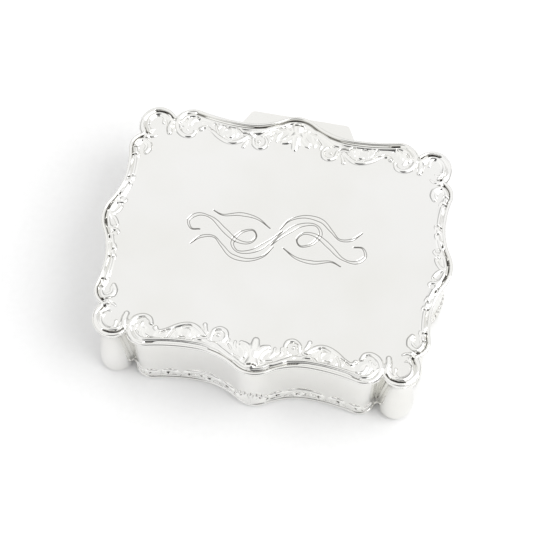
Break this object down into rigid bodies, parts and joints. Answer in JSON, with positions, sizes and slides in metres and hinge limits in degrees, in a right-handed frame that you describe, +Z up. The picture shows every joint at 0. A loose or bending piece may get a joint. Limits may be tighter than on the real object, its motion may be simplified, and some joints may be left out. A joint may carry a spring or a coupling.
{
  "type": "trinket box",
  "caption": "Silver-plated serpentine trinket box: hinged lid with raised scroll border and engraved flourish, swelling corner pillars, ornamental base border, velvet-lined well.",
  "frame": {"origin": "centre of the flat underside, on the surface the box stands on, at the centre of the serpentine plan", "axes": "+X to the right along the long side, +Y to the rear where the hinge is, +Z up"},
  "size_m": [0.127, 0.1032, 0.0374],
  "materials": {
    "silver_plate": "polished silver plate",
    "steel_pin": "drawn wire",
    "velvet": "short pile velvet",
    "felt": "pressed felt",
    "card": "plain grey board"
  },
  "bodies": {
    "box": {"body_wall": "silver_plate", "base_plate": "silver_plate", "body_rim": "silver_plate", "base_border": "silver_plate", "hinge_bracket": "silver_plate", "corner_pillar_front_left": "silver_plate", "corner_pillar_front_right": "silver_plate", "corner_pillar_rear_left": "silver_plate", "corner_pillar_rear_right": "silver_plate", "hinge_pin": "steel_pin", "base_felt": "felt", "wall_lining": "velvet", "floor_pad": "velvet", "floor_card": "card"},
    "lid": {"lid_plate": "silver_plate", "lid_edge_bead": "silver_plate", "lid_border": "silver_plate", "lid_hinge_leaf": "silver_plate", "lid_card": "card", "lid_pad": "velvet"}
  },
  "joints": [
    {"name": "lid_hinge", "type": "hinge", "parent": "box", "child": "lid", "pos_m": [0, 0.051, 0.033], "axis": [-1, 0, 0], "range_deg": [0, 100]}
  ]
}
